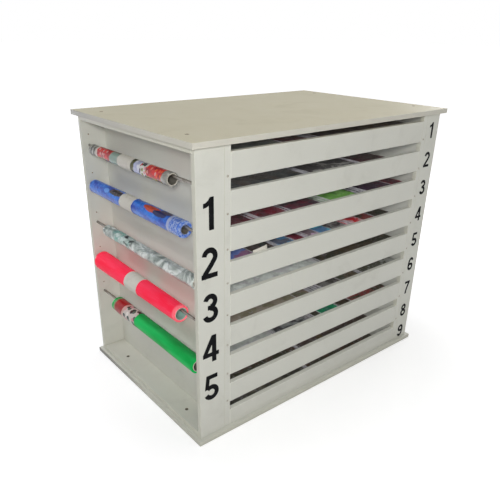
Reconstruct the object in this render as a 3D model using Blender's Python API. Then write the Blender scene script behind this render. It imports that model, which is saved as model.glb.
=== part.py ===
"""Gift bag display rack of white laminated boards.

Nine lipped shelves carry stacks of flat gift bags. An open bay at the left end carries five rolls
of wrapping film, each on a steel rod that draws out to the back. Units are metres, +X runs along
the slatted front, +Y to the back and +Z up. The origin is on the floor under the rack's middle.
"""
import math

import bmesh
import bpy
from mathutils import Matrix, Vector

# Fits and cuts
JOINT_GAP = 0.0003
CUT_OVERRUN = 0.002

# Carcass
BOARD = 0.015
BODY_LENGTH = 1.000
BODY_DEPTH = 0.645
BODY_HEIGHT = 0.857
TOP_OVERHANG = 0.015
BASE_OVERHANG = 0.012
LEFT_BAY_DEPTH = 0.080
RIGHT_BAY_DEPTH = 0.060
STILE_LAP = 0.008
BATTEN_WIDTH = 0.020
HOUSING_DEPTH = 0.005

# Tiers, counted from the bottom: the lowest stands on the base panel, the others have a shelf each
TIER_COUNT = 9
LOWEST_LIP_HEIGHT = 0.057
SLOT_HEIGHT = 0.031
LOWEST_SLOT_HEIGHT = 0.030
TOP_SLOT_HEIGHT = 0.0205

# Rods, counted from the top, and the pilot holes above them
ROD_RADIUS = 0.004
ROD_INSET = 0.0225
ROD_SOCKET_DEPTH = 0.008
ROD_TAIL = 0.010
ROD_HEIGHT_SHARES = (0.889, 0.744, 0.586, 0.440, 0.282)
PILOT_RADIUS = 0.002
PILOT_RISE = 0.034

# Rolls of film, one on each rod, wound on paperboard cores
CORE_WALL = 0.002
CORE_PROUD = 0.0015
ROLL_1_BORE_RADIUS = 0.0143
ROLL_2_BORE_RADIUS = 0.0122
ROLL_3_BORE_RADIUS = 0.0124
ROLL_4_BORE_RADIUS = 0.0176
ROLL_5_BORE_RADIUS = 0.0160
ROLL_1_FRONT_RADIUS = 0.0195
ROLL_1_REAR_RADIUS = 0.0175
ROLL_2_FRONT_RADIUS = 0.0234
ROLL_2_REAR_RADIUS = 0.0216
ROLL_3_FRONT_RADIUS = 0.0182
ROLL_3_REAR_RADIUS = 0.0186
ROLL_4_FRONT_RADIUS = 0.0260
ROLL_4_REAR_RADIUS = 0.0320
ROLL_5_FRONT_RADIUS = 0.0245
ROLL_5_REAR_RADIUS = 0.0250
FILM_START_SHARES = (0.198, 0.114, 0.030, 0.171, 0.040)
FILM_END_SHARES = (0.950, 0.979, 0.873, 0.980, 0.831)

# Countersunk screws that hold the top panel to the bay ceilings
SCREW_HEAD_RADIUS = 0.0055
SCREW_HEAD_DEPTH = 0.0034
SCREW_RADIUS = 0.0025
SCREW_LENGTH = 0.026
SCREW_SINK = 0.0005
SCREW_POINT_SHARE = 0.15
SCREW_INSET = 0.088

# Bag stacks: start, end and height shares of each stack in a tier, from the bottom tier up
STACK_CLEARANCE = 0.003
STACK_FOOT_SHARE = 0.22
STACK_DEPTH_SHARES = (0.62, 0.58, 0.55, 0.60, 0.66, 0.34, 0.50, 0.56, 0.64)
STACK_SHARES = (
    ((0.006, 0.430, 0.90), (0.448, 0.870, 0.86)),
    ((0.006, 0.374, 0.88), (0.392, 0.815, 0.90)),
    ((0.006, 0.240, 0.94), (0.252, 0.420, 0.86), (0.458, 0.680, 0.92), (0.690, 0.930, 0.84)),
    ((0.006, 0.430, 0.90), (0.490, 0.600, 0.94), (0.612, 0.725, 0.84), (0.738, 0.972, 0.88)),
    ((0.006, 0.470, 0.94), (0.486, 0.935, 0.84)),
    ((0.006, 0.135, 0.92), (0.145, 0.245, 0.84), (0.252, 0.330, 0.92), (0.342, 0.394, 0.82),
     (0.402, 0.452, 0.94), (0.462, 0.530, 0.90), (0.540, 0.630, 0.80), (0.638, 0.708, 0.95),
     (0.716, 0.790, 0.86), (0.800, 0.900, 0.80)),
    ((0.006, 0.142, 0.86), (0.163, 0.287, 0.92), (0.314, 0.468, 0.84), (0.500, 0.650, 0.94),
     (0.722, 0.960, 0.86)),
    ((0.006, 0.365, 0.90), (0.405, 0.650, 0.84), (0.672, 0.825, 0.88)),
    ((0.006, 0.390, 0.88), (0.448, 0.960, 0.84)),
)

# Facets
ROD_SIDES = 24
CORE_SIDES = 24
FILM_SIDES = 32
SCREW_SIDES = 12
HOLE_SIDES = 24
SMOOTH_ANGLE = math.radians(40)

# Sizes that follow from the ones above
SHELVED_HEIGHT = BODY_HEIGHT - LOWEST_LIP_HEIGHT - LOWEST_SLOT_HEIGHT
TIER_PITCH = (SHELVED_HEIGHT - TOP_SLOT_HEIGHT + SLOT_HEIGHT) / (TIER_COUNT - 1)
LIP_HEIGHT = TIER_PITCH - SLOT_HEIGHT
SECOND_TIER_FLOOR = LOWEST_LIP_HEIGHT + LOWEST_SLOT_HEIGHT + BOARD
INNER_FRONT = BOARD + JOINT_GAP
INNER_BACK = BODY_DEPTH - BOARD - JOINT_GAP
HALL_LEFT = LEFT_BAY_DEPTH + BOARD
HALL_RIGHT = BODY_LENGTH - RIGHT_BAY_DEPTH - BOARD
LIP_LEFT = LEFT_BAY_DEPTH + STILE_LAP + BATTEN_WIDTH + JOINT_GAP
LIP_RIGHT = BODY_LENGTH - RIGHT_BAY_DEPTH - STILE_LAP - BATTEN_WIDTH - JOINT_GAP
ALONG_Y = Matrix.Rotation(-math.pi / 2, 4, "X")
DOWNWARD = Matrix.Rotation(math.pi, 4, "X")

LAMINATE = ("white_laminate", (0.79, 0.78, 0.73), 0.42, 0.0)
TOP_LAMINATE = ("top_laminate", (0.72, 0.68, 0.57), 0.40, 0.0)
STEEL = ("rod_steel", (0.45, 0.44, 0.42), 0.35, 1.0)
SCREW_ZINC = ("screw_zinc", (0.30, 0.29, 0.27), 0.45, 1.0)
PAPERBOARD = ("core_paperboard", (0.78, 0.76, 0.70), 0.80, 0.0)
FILM_FINISHES = (
    ("film_printed", (0.55, 0.38, 0.33), 0.25, 0.0),
    ("film_blue", (0.02, 0.10, 0.62), 0.22, 0.3),
    ("film_silver", (0.60, 0.66, 0.63), 0.25, 0.4),
    ("film_red", (0.95, 0.05, 0.11), 0.28, 0.0),
    ("film_green", (0.01, 0.42, 0.10), 0.28, 0.0),
)
BAG_FINISH = ("bag_film", (0.20, 0.18, 0.20), 0.20, 0.6)


def in_room(x, y, z):
    """World place of a point measured from the body's left front corner on the base panel."""
    return Vector((x - BODY_LENGTH / 2, y - BODY_DEPTH / 2, z + BOARD))


def tier_floor(tier):
    """Height of the surface that a tier's bags lie on; tier 1 is the base panel."""
    if tier == 1:
        return 0
    return SECOND_TIER_FLOOR + (tier - 2) * TIER_PITCH


def lip_rise(tier):
    """Height of a tier's lip over its floor."""
    return LOWEST_LIP_HEIGHT if tier == 1 else LIP_HEIGHT - BOARD


def from_end(side, near, far):
    """Ordered x range of a stretch measured from the left or the right end of the body."""
    if side == "left":
        return near, far
    return BODY_LENGTH - far, BODY_LENGTH - near


def material(finish):
    """Principled material of a finish: name, colour, roughness and metallic value."""
    name, colour, roughness, metallic = finish
    made = bpy.data.materials.get(name)
    if made:
        return made
    made = bpy.data.materials.new(name)
    made.use_nodes = True
    shader = made.node_tree.nodes["Principled BSDF"]
    shader.inputs["Base Color"].default_value = (*colour, 1.0)
    shader.inputs["Roughness"].default_value = roughness
    shader.inputs["Metallic"].default_value = metallic
    made.diffuse_color = (*colour, 1.0)
    return made


def make_object(name, shape, place, parent, finish=None, rotation=None, smooth=False):
    """Object from a finished bmesh, with its origin at a world place."""
    bmesh.ops.recalc_face_normals(shape, faces=shape.faces)
    mesh = bpy.data.meshes.new(name)
    shape.to_mesh(mesh)
    shape.free()
    if smooth:
        mesh.shade_smooth()
        mesh.set_sharp_from_angle(angle=SMOOTH_ANGLE)
    made = bpy.data.objects.new(name, mesh)
    bpy.context.scene.collection.objects.link(made)
    made.parent = parent
    made.location = place - (parent.location if parent else Vector())
    if rotation:
        made.rotation_euler = rotation.to_euler()
    if finish:
        mesh.materials.append(material(finish))
    return made


def add_box(shape, low, high):
    """Closed box between two corners."""
    low = Vector(low)
    high = Vector(high)
    size = Matrix.Diagonal((*(high - low), 1))
    bmesh.ops.create_cube(shape, size=1, matrix=Matrix.Translation((low + high) / 2) @ size)


def add_turned(shape, outline, sides, matrix=Matrix(), ring=False):
    """Solid turned about Z from (radius, height) points; ring joins the last point to the first."""
    loops = []
    for radius, height in outline:
        loop = []
        for step in range(sides):
            angle = 2 * math.pi * step / sides
            point = Vector((radius * math.cos(angle), radius * math.sin(angle), height))
            loop.append(shape.verts.new(matrix @ point))
        loops.append(loop)
    pairs = list(zip(loops, loops[1:]))
    if ring:
        pairs.append((loops[-1], loops[0]))
    else:
        shape.faces.new(loops[0])
        shape.faces.new(loops[-1])
    for lower, upper in pairs:
        for step in range(sides):
            after = (step + 1) % sides
            shape.faces.new((lower[step], lower[after], upper[after], upper[step]))


def board(name, x_range, y_range, z_range, parent, finish=LAMINATE):
    """Board between three ranges, with its origin at its middle."""
    low = in_room(x_range[0], y_range[0], z_range[0])
    high = in_room(x_range[1], y_range[1], z_range[1])
    middle = (low + high) / 2
    shape = bmesh.new()
    add_box(shape, low - middle, high - middle)
    return make_object(name, shape, middle, parent, finish)


def cutter(name, shape):
    """Hidden cutter with world coordinates."""
    made = make_object(name, shape, Vector(), None)
    made.hide_render = True
    made.display_type = "WIRE"
    return made


def cut(target, tool):
    """Boolean cut of a board."""
    modifier = target.modifiers.new(tool.name, "BOOLEAN")
    modifier.operation = "DIFFERENCE"
    modifier.solver = "EXACT"
    modifier.object = tool


def screw_outline():
    """Countersunk screw, head at the origin and point towards +Z."""
    return (
        (SCREW_HEAD_RADIUS, SCREW_SINK),
        (SCREW_HEAD_RADIUS, SCREW_SINK + SCREW_HEAD_DEPTH / 4),
        (SCREW_RADIUS, SCREW_SINK + SCREW_HEAD_DEPTH),
        (SCREW_RADIUS, SCREW_LENGTH - 2 * SCREW_RADIUS),
        (SCREW_RADIUS * SCREW_POINT_SHARE, SCREW_LENGTH),
    )


def screw_hole_outline():
    """Hole that clears the screw by the joint gap."""
    return (
        (SCREW_HEAD_RADIUS + JOINT_GAP, -CUT_OVERRUN),
        (SCREW_HEAD_RADIUS + JOINT_GAP, SCREW_SINK + SCREW_HEAD_DEPTH / 4 + JOINT_GAP),
        (SCREW_RADIUS + JOINT_GAP, SCREW_SINK + SCREW_HEAD_DEPTH + JOINT_GAP),
        (SCREW_RADIUS + JOINT_GAP, SCREW_LENGTH + JOINT_GAP),
    )


def panels(parent):
    """Top and base panels, which stand proud of the body all round."""
    top = board(
        "top_panel",
        (-TOP_OVERHANG, BODY_LENGTH + TOP_OVERHANG),
        (-TOP_OVERHANG, BODY_DEPTH + TOP_OVERHANG),
        (BODY_HEIGHT, BODY_HEIGHT + BOARD),
        parent,
        TOP_LAMINATE,
    )
    board(
        "base_panel",
        (-BASE_OVERHANG, BODY_LENGTH + BASE_OVERHANG),
        (-BASE_OVERHANG, BODY_DEPTH + BASE_OVERHANG),
        (-BOARD, 0),
        parent,
    )
    return top


def end_frame(side, bay_depth, parent):
    """Stiles, partition, batten and the two bay boards of one end."""
    height = (JOINT_GAP, BODY_HEIGHT - JOINT_GAP)
    inner = (INNER_FRONT, INNER_BACK)
    stile = from_end(side, 0, bay_depth + STILE_LAP)
    batten = from_end(
        side, bay_depth + STILE_LAP + JOINT_GAP, bay_depth + STILE_LAP + BATTEN_WIDTH
    )
    wall = from_end(side, bay_depth, bay_depth + BOARD)
    bay = from_end(side, 0, bay_depth - JOINT_GAP)
    floor = (JOINT_GAP, JOINT_GAP + BOARD)
    ceiling = (BODY_HEIGHT - JOINT_GAP - BOARD, BODY_HEIGHT - JOINT_GAP)
    return {
        "front_stile": board(side + "_front_stile", stile, (0, BOARD), height, parent),
        "back_stile": board(
            side + "_back_stile", stile, (BODY_DEPTH - BOARD, BODY_DEPTH), height, parent
        ),
        "batten": board(side + "_batten", batten, (0, BOARD), height, parent),
        "partition": board(side + "_partition", wall, inner, height, parent),
        "bay_floor": board(side + "_bay_floor", bay, inner, floor, parent),
        "bay_ceiling": board(side + "_bay_ceiling", bay, inner, ceiling, parent),
    }


def shelves(parent):
    """Shelves housed in the partitions, one for each tier but the lowest."""
    reach = HOUSING_DEPTH - JOINT_GAP
    for tier in range(2, TIER_COUNT + 1):
        top = tier_floor(tier)
        board(
            f"shelf_{tier}",
            (HALL_LEFT - reach, HALL_RIGHT + reach),
            (INNER_FRONT, INNER_BACK),
            (top - BOARD, top),
            parent,
        )


def lips(parent):
    """Front lip of every tier, flush with the underside of its shelf; the lowest is on the base."""
    for tier in range(1, TIER_COUNT + 1):
        low = JOINT_GAP if tier == 1 else tier_floor(tier) - BOARD
        z_range = (low, tier_floor(tier) + lip_rise(tier))
        board(f"lip_{tier}", (LIP_LEFT, LIP_RIGHT), (0, BOARD), z_range, parent)


def cut_housings(frames):
    """Grooves in both partitions that take the shelf ends."""
    for side, inner_face in (("left", HALL_LEFT), ("right", HALL_RIGHT)):
        grooves = bmesh.new()
        into = -HOUSING_DEPTH if side == "left" else HOUSING_DEPTH
        out = CUT_OVERRUN if side == "left" else -CUT_OVERRUN
        x_low, x_high = sorted((inner_face + into, inner_face + out))
        for tier in range(2, TIER_COUNT + 1):
            top = tier_floor(tier)
            add_box(
                grooves,
                in_room(x_low, -CUT_OVERRUN, top - BOARD - JOINT_GAP),
                in_room(x_high, BODY_DEPTH + CUT_OVERRUN, top + JOINT_GAP),
            )
        cut(frames[side]["partition"], cutter(side + "_housings", grooves))


def rods(frames, parent):
    """Rods in blind sockets of the front stile and through holes of the back stile."""
    front = BOARD - ROD_SOCKET_DEPTH
    length = BODY_DEPTH + ROD_TAIL - front - JOINT_GAP
    hole_radius = ROD_RADIUS + JOINT_GAP
    hole_length = BODY_DEPTH + CUT_OVERRUN - front
    pilot_length = BOARD + 2 * CUT_OVERRUN
    holes = bmesh.new()
    for number, share in enumerate(ROD_HEIGHT_SHARES, 1):
        height = share * BODY_HEIGHT
        rod = bmesh.new()
        add_turned(rod, ((ROD_RADIUS, 0), (ROD_RADIUS, length)), ROD_SIDES)
        place = in_room(ROD_INSET, front + JOINT_GAP, height)
        make_object(f"rod_{number}", rod, place, parent, STEEL, ALONG_Y, smooth=True)
        matrix = Matrix.Translation(in_room(ROD_INSET, front, height)) @ ALONG_Y
        add_turned(holes, ((hole_radius, 0), (hole_radius, hole_length)), HOLE_SIDES, matrix)
        above = in_room(ROD_INSET, BODY_DEPTH - BOARD - CUT_OVERRUN, height + PILOT_RISE)
        matrix = Matrix.Translation(above) @ ALONG_Y
        add_turned(holes, ((PILOT_RADIUS, 0), (PILOT_RADIUS, pilot_length)), SCREW_SIDES, matrix)
    tool = cutter("rod_and_pilot_holes", holes)
    cut(frames["left"]["front_stile"], tool)
    cut(frames["left"]["back_stile"], tool)


def rolls(parent):
    """Film rolls, each hanging with its core's bore on its rod."""
    bores = (
        ROLL_1_BORE_RADIUS,
        ROLL_2_BORE_RADIUS,
        ROLL_3_BORE_RADIUS,
        ROLL_4_BORE_RADIUS,
        ROLL_5_BORE_RADIUS,
    )
    film_radii = (
        (ROLL_1_FRONT_RADIUS, ROLL_1_REAR_RADIUS),
        (ROLL_2_FRONT_RADIUS, ROLL_2_REAR_RADIUS),
        (ROLL_3_FRONT_RADIUS, ROLL_3_REAR_RADIUS),
        (ROLL_4_FRONT_RADIUS, ROLL_4_REAR_RADIUS),
        (ROLL_5_FRONT_RADIUS, ROLL_5_REAR_RADIUS),
    )
    bay_length = INNER_BACK - INNER_FRONT
    for index, bore in enumerate(bores):
        number = index + 1
        start = INNER_FRONT + FILM_START_SHARES[index] * bay_length
        length = (FILM_END_SHARES[index] - FILM_START_SHARES[index]) * bay_length
        drop = bore - ROD_RADIUS - JOINT_GAP
        height = ROD_HEIGHT_SHARES[index] * BODY_HEIGHT - drop
        place = in_room(ROD_INSET, start, height)
        axis = bpy.data.objects.new(f"roll_{number}_axis", None)
        bpy.context.scene.collection.objects.link(axis)
        axis.parent = parent
        axis.location = place - parent.location
        core_radius = bore + CORE_WALL
        core = bmesh.new()
        outline = (
            (bore, -CORE_PROUD),
            (bore, length + CORE_PROUD),
            (core_radius, length + CORE_PROUD),
            (core_radius, -CORE_PROUD),
        )
        add_turned(core, outline, CORE_SIDES, ring=True)
        make_object(
            f"roll_core_{number}", core, axis.location, axis, PAPERBOARD, ALONG_Y, smooth=True
        )
        front_radius, rear_radius = film_radii[index]
        wound_on = (core_radius + JOINT_GAP) / math.cos(math.pi / FILM_SIDES)
        film = bmesh.new()
        outline = (
            (wound_on, 0),
            (wound_on, length),
            (rear_radius, length),
            (front_radius, 0),
        )
        add_turned(film, outline, FILM_SIDES, ring=True)
        finish = FILM_FINISHES[index]
        make_object(
            f"roll_film_{number}", film, axis.location, axis, finish, ALONG_Y, smooth=True
        )


def bag_stacks(parent):
    """Piles of flat gift bags behind each lip; the lowest bags of a tier lie across from pile to pile."""
    hall = HALL_RIGHT - HALL_LEFT
    front = INNER_FRONT + STACK_CLEARANCE
    for tier in range(1, TIER_COUNT + 1):
        length = STACK_DEPTH_SHARES[tier - 1] * (INNER_BACK - INNER_FRONT)
        foot = STACK_FOOT_SHARE * lip_rise(tier)
        skyline = []
        for start, end, height_share in STACK_SHARES[tier - 1]:
            top = height_share * lip_rise(tier)
            skyline.append((start * hall, foot))
            skyline.append((start * hall, top))
            skyline.append((end * hall, top))
            skyline.append((end * hall, foot))
        skyline[0] = (skyline[0][0], 0)
        skyline[-1] = (skyline[-1][0], 0)
        shape = bmesh.new()
        face = shape.faces.new([shape.verts.new((x, 0, z)) for x, z in skyline])
        back = bmesh.ops.extrude_face_region(shape, geom=[face])["geom"]
        moved = [part for part in back if isinstance(part, bmesh.types.BMVert)]
        bmesh.ops.translate(shape, verts=moved, vec=(0, length, 0))
        place = in_room(HALL_LEFT, front, tier_floor(tier) + JOINT_GAP)
        make_object(f"bag_stacks_{tier}", shape, place, parent, BAG_FINISH)


def top_screws(frames, top, parent):
    """Screws through the top panel into both bay ceilings, with their holes."""
    holes = bmesh.new()
    for side, bay_depth in (("left", LEFT_BAY_DEPTH), ("right", RIGHT_BAY_DEPTH)):
        x = sum(from_end(side, 0, bay_depth)) / 2
        for end, y in (("front", SCREW_INSET), ("back", BODY_DEPTH - SCREW_INSET)):
            place = in_room(x, y, BODY_HEIGHT + BOARD)
            screw = bmesh.new()
            add_turned(screw, screw_outline(), SCREW_SIDES)
            name = f"top_screw_{side}_{end}"
            make_object(name, screw, place, parent, SCREW_ZINC, DOWNWARD, smooth=True)
            matrix = Matrix.Translation(place) @ DOWNWARD
            add_turned(holes, screw_hole_outline(), SCREW_SIDES, matrix)
    tool = cutter("top_screw_holes", holes)
    cut(top, tool)
    for side in ("left", "right"):
        cut(frames[side]["bay_ceiling"], tool)


def main():
    for old in list(bpy.data.objects):
        bpy.data.objects.remove(old, do_unlink=True)
    rack = bpy.data.objects.new("display_rack", None)
    bpy.context.scene.collection.objects.link(rack)
    top = panels(rack)
    frames = {
        "left": end_frame("left", LEFT_BAY_DEPTH, rack),
        "right": end_frame("right", RIGHT_BAY_DEPTH, rack),
    }
    shelves(rack)
    lips(rack)
    cut_housings(frames)
    rods(frames, rack)
    rolls(rack)
    bag_stacks(rack)
    top_screws(frames, top, rack)


main()
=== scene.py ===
"""Looks of the gift bag display rack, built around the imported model.

Places given to at() are millimetres from the body's left front corner on the base panel's face,
with +X along the slatted front, +Y to the back and +Z up. Colours given to srgb() are display
colours with channels of 0 to 255. Sizes inside a piece's mesh are metres.
"""

import math
import random

import bmesh
import bpy
from mathutils import Matrix, Vector, noise
from mathutils.geometry import delaunay_2d_cdt


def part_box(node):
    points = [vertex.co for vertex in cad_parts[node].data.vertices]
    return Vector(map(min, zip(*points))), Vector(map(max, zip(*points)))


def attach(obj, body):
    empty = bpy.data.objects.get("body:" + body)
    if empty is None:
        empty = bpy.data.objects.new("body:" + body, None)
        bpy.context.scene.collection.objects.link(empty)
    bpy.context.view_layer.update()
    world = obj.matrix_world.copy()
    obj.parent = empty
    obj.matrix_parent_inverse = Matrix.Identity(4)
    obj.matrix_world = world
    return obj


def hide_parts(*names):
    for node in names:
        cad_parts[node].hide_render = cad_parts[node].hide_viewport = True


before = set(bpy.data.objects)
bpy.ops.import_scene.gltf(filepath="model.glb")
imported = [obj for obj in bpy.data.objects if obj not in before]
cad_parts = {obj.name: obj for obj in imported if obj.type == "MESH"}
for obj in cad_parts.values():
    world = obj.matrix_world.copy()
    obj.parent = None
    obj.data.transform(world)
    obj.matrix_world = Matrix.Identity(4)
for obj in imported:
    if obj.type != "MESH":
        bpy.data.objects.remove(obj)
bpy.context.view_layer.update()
collection = bpy.context.scene.collection

# The body in millimetres
BODY_LENGTH = 1000
BODY_DEPTH = 645
BODY_HEIGHT = 857
BOARD = 15
TIERS = range(1, 10)


def at(x, y, z):
    """World place of a point in the body's millimetres."""
    return Vector((x / 1000 - BODY_LENGTH / 2000, y / 1000 - BODY_DEPTH / 2000, z / 1000 + BOARD / 1000))


def srgb(red, green, blue):
    """Linear colour of a display colour."""
    linear = []
    for channel in (red, green, blue):
        share = channel / 255
        linear.append(share / 12.92 if share <= 0.04045 else ((share + 0.055) / 1.055) ** 2.4)
    return (*linear, 1.0)


def shade(colour, factor):
    """A linear colour made darker or lighter."""
    return (*(channel * factor for channel in colour[:3]), 1.0)


# Node graphs


class Nodes:
    """A node tree, with short calls that add nodes and link them."""

    def __init__(self, tree):
        self.tree = tree

    def put(self, socket, value):
        """Link or constant into a socket; None leaves it as it is."""
        if isinstance(value, bpy.types.NodeSocket):
            self.tree.links.new(value, socket)
        elif value is not None:
            socket.default_value = value

    def node(self, kind, sockets=None, **settings):
        """New node with its settings, and values or links put into its sockets."""
        made = self.tree.nodes.new("ShaderNode" + kind)
        for key, value in settings.items():
            setattr(made, key, value)
        for name, value in (sockets or {}).items():
            self.put(made.inputs[name], value)
        return made

    def coords(self, scale=(1, 1, 1), shuffle=0.0):
        """Object coordinates in metres, stretched, and shifted from piece to piece by shuffle."""
        source = self.node("TexCoord").outputs["Object"]
        if shuffle:
            shift = self.times(self.node("ObjectInfo").outputs["Random"], shuffle)
            joined = self.node("CombineXYZ", {"X": shift, "Y": shift, "Z": shift})
            source = self.vector("ADD", source, joined.outputs[0])
        if tuple(scale) != (1, 1, 1):
            source = self.vector("MULTIPLY", source, scale)
        return source

    def split(self, vector):
        return self.node("SeparateXYZ", {0: vector}).outputs

    def vector(self, operation, first, second):
        return self.node("VectorMath", {0: first, 1: second}, operation=operation).outputs[0]

    def math(self, operation, first, second=None, clamp=False):
        return self.node("Math", {0: first, 1: second}, operation=operation, use_clamp=clamp).outputs[0]

    def plus(self, first, second):
        return self.math("ADD", first, second)

    def minus(self, first, second):
        return self.math("SUBTRACT", first, second)

    def times(self, first, second):
        return self.math("MULTIPLY", first, second)

    def inverse(self, value):
        """1 for 0 and 0 for 1."""
        return self.minus(1.0, value)

    def noise(self, vector, scale, detail=2.0, roughness=0.5, distortion=0.0):
        sockets = {"Vector": vector, "Scale": scale, "Detail": detail}
        sockets |= {"Roughness": roughness, "Distortion": distortion}
        return self.node("TexNoise", sockets).outputs["Fac"]

    def cells(self, vector, scale, feature="F1", output="Distance"):
        return self.node("TexVoronoi", {"Vector": vector, "Scale": scale}, feature=feature).outputs[output]

    def between(self, value, low, high, smooth=True):
        """0 below low, 1 above high."""
        sockets = {"Value": value, "From Min": low, "From Max": high}
        kind = "SMOOTHSTEP" if smooth else "LINEAR"
        return self.node("MapRange", sockets, interpolation_type=kind).outputs["Result"]

    def scaled(self, value, low, high):
        """A 0 to 1 value spread linearly over low to high."""
        return self.node("MapRange", {"Value": value, "To Min": low, "To Max": high}).outputs["Result"]

    def band(self, value, low, high, soft):
        """1 between low and high, with soft sides."""
        rise = self.between(value, low - soft, low + soft)
        fall = self.between(value, high - soft, high + soft)
        return self.math("SUBTRACT", rise, fall, clamp=True)

    def mix(self, factor, first, second):
        made = self.node("Mix", {"Factor": factor}, data_type="RGBA")
        colours = [socket for socket in made.inputs if socket.type == "RGBA"]
        for socket, colour in zip(colours, (first, second)):
            self.put(socket, colour)
        return next(socket for socket in made.outputs if socket.type == "RGBA")

    def stain(self, base, mask, strength, colour):
        """The base with a colour laid over it where the mask is 1, at that strength."""
        return self.mix(self.times(mask, strength), base, colour)

    def ramp(self, value, stops, interpolation="LINEAR"):
        """Colour by value; each stop is its place and a display colour."""
        made = self.node("ValToRGB", {"Fac": value})
        made.color_ramp.interpolation = interpolation
        elements = made.color_ramp.elements
        while len(elements) < len(stops):
            elements.new(0.5)
        for element, (position, *colour) in zip(elements, stops):
            element.position = position
            element.color = srgb(*colour)
        return made.outputs["Color"]

    def bump(self, height, distance, strength=1.0, normal=None):
        sockets = {"Strength": strength, "Distance": distance, "Height": height, "Normal": normal}
        return self.node("Bump", sockets).outputs["Normal"]


class Graph(Nodes):
    """A new material's nodes round its Principled shader."""

    def __init__(self, name, colour=(0.5, 0.5, 0.5, 1), roughness=0.5, metallic=0.0, specular=0.5):
        self.material = bpy.data.materials.new(name)
        self.material.use_nodes = True
        super().__init__(self.material.node_tree)
        self.shader = self.tree.nodes["Principled BSDF"]
        self.set("Base Color", colour)
        self.set("Roughness", roughness)
        self.set("Metallic", metallic)
        self.set("Specular IOR Level", specular)

    def set(self, name, value):
        """Link or constant into the shader."""
        self.put(self.shader.inputs[name], value)

    def finished(self, colour, normal, roughness=None):
        """The material, with these last values on its shader."""
        self.set("Base Color", colour)
        self.set("Normal", normal)
        self.set("Roughness", roughness)
        return self.material


# Materials of the boards, rods, screws and paper

# World heights and spans in metres: how far up the floor's grime reaches on faces and painted shade
# on edging, where edging gets painted shade at the rack's left back; then the pitch of a tube's winding
FACE_GRIME_TOP = 0.16
EDGE_SHADE_TOP = 0.026
LEFT_BACK_SHADE_X = (-0.504, -0.510)
LEFT_BACK_SHADE_Y = (-0.12, 0.33)
TUBE_PLY_PITCH = 0.045


def laminate(name, colour, dirt, wear, roughness, specular=0.5):
    """Melamine-faced board: faint mottling, smudges, hairline scratches and an orange-peel skin."""
    g = Graph(name, colour, roughness, specular=specular)
    place = g.coords(shuffle=9.0)
    base = g.mix(g.noise(place, 4.0, 3.0), shade(colour, 0.955), shade(colour, 1.03))
    base = g.mix(g.between(g.noise(place, 520.0), 0.60, 0.78), base, shade(colour, 0.93))
    smudge = g.noise(place, 9.0, 7.0, 0.62, 0.8)
    base = g.stain(base, g.between(smudge, 0.52, 0.74), dirt, srgb(128, 122, 104))
    low = g.inverse(g.between(g.split(g.coords())[2], 0.0, FACE_GRIME_TOP))
    patchy = g.scaled(g.noise(place, 30.0, 4.0), 0.3, 1.0)
    base = g.stain(base, g.times(low, patchy), 0.16, srgb(126, 121, 106))
    level_hair = g.between(g.noise(g.coords((4.0, 420.0, 420.0), 9.0), 1.0, 1.0), 0.74, 0.78)
    upright_hair = g.between(g.noise(g.coords((300.0, 300.0, 5.0), 5.0), 1.0, 1.0), 0.75, 0.79)
    hair = g.math("MAXIMUM", level_hair, upright_hair)
    base = g.stain(base, hair, wear, shade(colour, 0.80))
    rough = g.plus(g.scaled(smudge, roughness - 0.09, roughness + 0.14), g.times(hair, 0.12))
    return g.finished(base, g.bump(g.noise(place, 900.0), 0.00006, 0.5), rough)


def edge_band(name, colour, left_back_shade=0.0):
    """Glued plastic edging with painted shade near the floor and, where asked, at the rack's left back."""
    g = Graph(name, colour, 0.34, specular=0.22)
    place = g.coords(shuffle=9.0)
    tone = g.noise(place, 22.0, 4.0)
    base = g.mix(tone, shade(colour, 0.93), shade(colour, 1.02))
    nicks = g.between(g.noise(place, 160.0, 3.0, 0.7), 0.68, 0.76)
    base = g.stain(base, nicks, 0.35, srgb(140, 130, 108))
    x, y, z = g.split(g.coords())
    # Painted shade: the edging darkens towards the floor, standing in for the contact shadow at the base.
    low = g.between(z, EDGE_SHADE_TOP, 0.0)
    base = g.mix(g.scaled(low, 0.0, 0.24), base, srgb(112, 106, 94))
    # Painted shade: where asked, the edging darkens at the rack's left back, which gets less light.
    if left_back_shade:
        left_back_shade_mask = g.times(g.between(x, *LEFT_BACK_SHADE_X), g.between(y, *LEFT_BACK_SHADE_Y))
        base = g.mix(g.scaled(left_back_shade_mask, 0.0, left_back_shade), base, srgb(96, 92, 86))
    chatter = g.bump(g.noise(place, 700.0, 1.0), 0.00005, 0.5)
    return g.finished(base, chatter, g.scaled(tone, 0.28, 0.44))


def chipboard():
    """Raw core of the boards, seen in drilled holes."""
    g = Graph("chipboard_core", srgb(150, 118, 82), 0.9)
    place = g.coords()
    flakes = g.split(g.cells(place, 900.0, output="Color"))[0]
    base = g.mix(flakes, srgb(112, 84, 56), srgb(176, 144, 104))
    return g.finished(base, g.bump(g.cells(place, 900.0), 0.0004))


def steel(name, colour, roughness):
    """Drawn steel rod: fine lengthwise lines, grey-brown tarnish."""
    g = Graph(name, colour, roughness, 1.0)
    lines = g.noise(g.coords((1400.0, 9.0, 1400.0), 3.0), 1.0)
    tarnish = g.noise(g.coords(shuffle=3.0), 38.0, 5.0, 0.6)
    base = g.mix(g.between(tarnish, 0.45, 0.75), colour, srgb(96, 84, 70))
    base = g.stain(base, lines, 0.3, shade(colour, 0.6))
    rough = g.scaled(tarnish, roughness - 0.08, roughness + 0.25)
    return g.finished(base, g.bump(lines, 0.00005, 0.6), rough)


def screw_metal(name, clean, worn, metallic):
    """Screw head, dulled, with grime in its recess."""
    g = Graph(name, clean, 0.42, metallic, 0.3)
    place = g.coords()
    grime = g.between(g.noise(place, 420.0, 3.0, 0.6), 0.42, 0.66)
    pits = g.bump(g.noise(place, 1500.0), 0.00004)
    return g.finished(g.mix(grime, clean, worn), pits, g.scaled(grime, 0.34, 0.62))


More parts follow.
